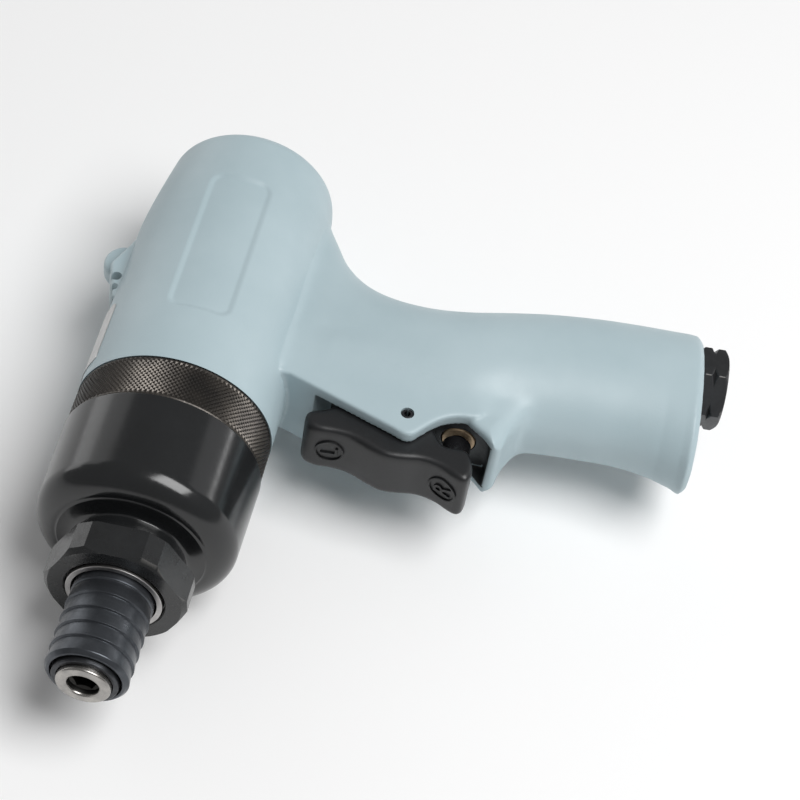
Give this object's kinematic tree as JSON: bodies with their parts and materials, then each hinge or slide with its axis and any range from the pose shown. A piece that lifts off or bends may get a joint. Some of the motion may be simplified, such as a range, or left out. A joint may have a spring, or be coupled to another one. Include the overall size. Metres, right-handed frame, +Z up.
{
  "type": "pneumatic screwdriver",
  "caption": "Pistol-grip air screwdriver: quick-change hex socket nose with release sleeve, knurled coupling ring, two-way rocker trigger and air inlet in the handle base.",
  "frame": {"origin": "centre of the bounding box on the bench plane z = 0, with the tool lying on its right side", "axes": "+X along the spindle towards the nose, +Y from the barrel to the end of the handle, +Z up through the side of the tool that faces up"},
  "size_m": [0.1704, 0.1693, 0.052],
  "materials": {
    "paint_grey": "fine sparkling satin paint",
    "enamel_black": "hard glossy enamel",
    "steel_blued": "blued and turned",
    "steel_bright": "ground bright",
    "steel_dark": "oiled, heat-treated",
    "steel_oxide": "brown-black oxide, knurled",
    "steel_spring": "drawn wire",
    "oxide_black": "black oxide, worn at its edges",
    "cast_grey": "machined",
    "brass": "turned",
    "phenolic": "cloth-filled laminate",
    "plastic_black": "moulded, semi-matt",
    "rubber_black": "matt",
    "felt": "dense felt",
    "plate_silver": "bare, satin"
  },
  "bodies": {
    "housing": {"motor_housing": "paint_grey", "coupling_ring": "steel_oxide", "hammer_case": "enamel_black", "nose_nut": "enamel_black", "spindle_bush": "steel_bright", "cylinder_liner": "cast_grey", "front_end_plate": "cast_grey", "rear_end_plate": "cast_grey", "front_bearing": "steel_bright", "rear_bearing": "steel_bright", "exhaust_felt": "felt", "name_plate": "plate_silver", "trigger_pin": "steel_blued", "valve_bushing_left": "brass", "valve_bushing_right": "brass", "valve_seal_left": "rubber_black", "valve_seal_right": "rubber_black", "valve_spring_left": "steel_spring", "valve_spring_right": "steel_spring", "air_inlet_bushing": "oxide_black", "inlet_screen": "brass"},
    "drive": {"rotor": "steel_dark", "vane_1": "phenolic", "vane_2": "phenolic", "vane_3": "phenolic", "vane_4": "phenolic", "vane_5": "phenolic", "vane_6": "phenolic", "hammer_cage": "steel_dark", "hammer_pin_front": "steel_bright", "hammer_pin_rear": "steel_bright"},
    "spindle": {"anvil_spindle": "steel_bright", "bit_lock_ball": "steel_bright", "retaining_ring": "steel_blued", "sleeve_spring": "steel_spring"},
    "release_sleeve": {"release_sleeve": "steel_blued"},
    "hammer_front": {"hammer_front": "steel_dark"},
    "hammer_rear": {"hammer_rear": "steel_dark"},
    "trigger": {"trigger": "plastic_black"},
    "valve_stem_left": {"valve_stem_left": "plastic_black"},
    "valve_stem_right": {"valve_stem_right": "plastic_black"}
  },
  "joints": [
    {"name": "rotor_spin", "type": "hinge", "parent": "housing", "child": "drive", "pos_m": [-0.01475, -0.05272, 0.026], "axis": [1, 0, 0], "continuous": true},
    {"name": "spindle_spin", "type": "hinge", "parent": "housing", "child": "spindle", "pos_m": [0.05525, -0.05272, 0.026], "axis": [1, 0, 0], "continuous": true},
    {"name": "release_sleeve_slide", "type": "slide", "parent": "spindle", "child": "release_sleeve", "axis": [-1, 0, 0], "range_m": [0, 0.0045], "stiffness_N_per_m": 900, "springref_m": -0.004, "deforming": ["sleeve_spring"]},
    {"name": "hammer_front_rock", "type": "hinge", "parent": "drive", "child": "hammer_front", "pos_m": [0.03075, -0.03652, 0.026], "axis": [1, 0, 0], "range_deg": [-2.5, 2.5]},
    {"name": "hammer_rear_rock", "type": "hinge", "parent": "drive", "child": "hammer_rear", "pos_m": [0.02295, -0.06892, 0.026], "axis": [1, 0, 0], "range_deg": [-2.5, 2.5]},
    {"name": "trigger_rock", "type": "hinge", "parent": "housing", "child": "trigger", "pos_m": [-0.00815, 0.00478, 0.026], "axis": [0, 0, 1], "range_deg": [-5, 5], "stiffness_Nm_per_rad": 1.2},
    {"name": "valve_stem_left_slide", "type": "slide", "parent": "housing", "child": "valve_stem_left", "axis": [-1, 0, 0], "range_m": [-0.00123, 0.00123], "deforming": ["valve_spring_left"]},
    {"name": "valve_stem_right_slide", "type": "slide", "parent": "housing", "child": "valve_stem_right", "axis": [-1, 0, 0], "range_m": [-0.00123, 0.00123], "deforming": ["valve_spring_right"]}
  ],
  "couplings": [
    {"joint": "spindle_spin", "follows": "rotor_spin", "ratio": 1},
    {"joint": "valve_stem_left_slide", "follows": "trigger_rock", "m_per_rad": -0.014},
    {"joint": "valve_stem_right_slide", "follows": "trigger_rock", "m_per_rad": 0.014}
  ]
}
